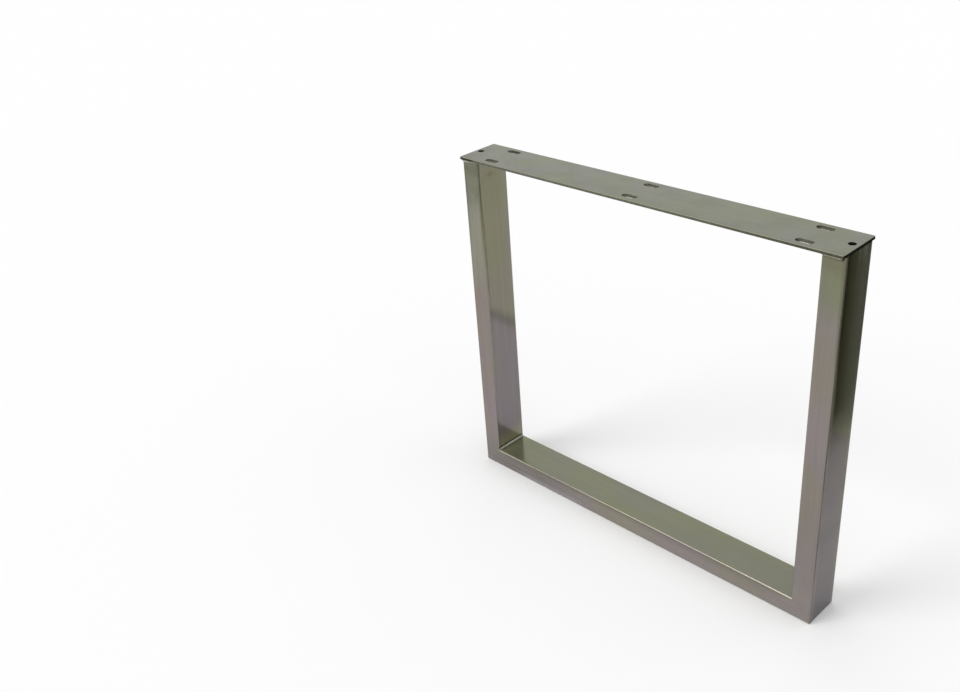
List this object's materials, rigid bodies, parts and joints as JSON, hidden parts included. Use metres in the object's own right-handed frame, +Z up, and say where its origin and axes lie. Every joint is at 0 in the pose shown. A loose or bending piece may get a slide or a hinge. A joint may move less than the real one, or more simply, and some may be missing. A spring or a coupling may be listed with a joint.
{
  "type": "welded table base frame",
  "caption": "Welded U-shaped end frame of rectangular stainless tube with a slotted top plate, standing on its rail to carry one end of a low table top.",
  "frame": {"origin": "centre of the footprint, on the floor under the bottom rail", "axes": "+X along the frame from one upright to the other, +Y through its depth, +Z up to the plate that carries the table top"},
  "size_m": [0.41, 0.048, 0.362],
  "materials": {
    "tube_steel": "stainless tube, finely brushed along its length",
    "plate_steel": "stainless flat bar, matt brushed along its length",
    "weld_steel": "bright dressed weld bead"
  },
  "bodies": {
    "root": {"top_plate": "plate_steel", "left_upright": "tube_steel", "right_upright": "tube_steel", "bottom_rail": "tube_steel", "left_plate_weld": "weld_steel", "right_plate_weld": "weld_steel", "left_corner_weld": "weld_steel", "right_corner_weld": "weld_steel"}
  },
  "joints": []
}
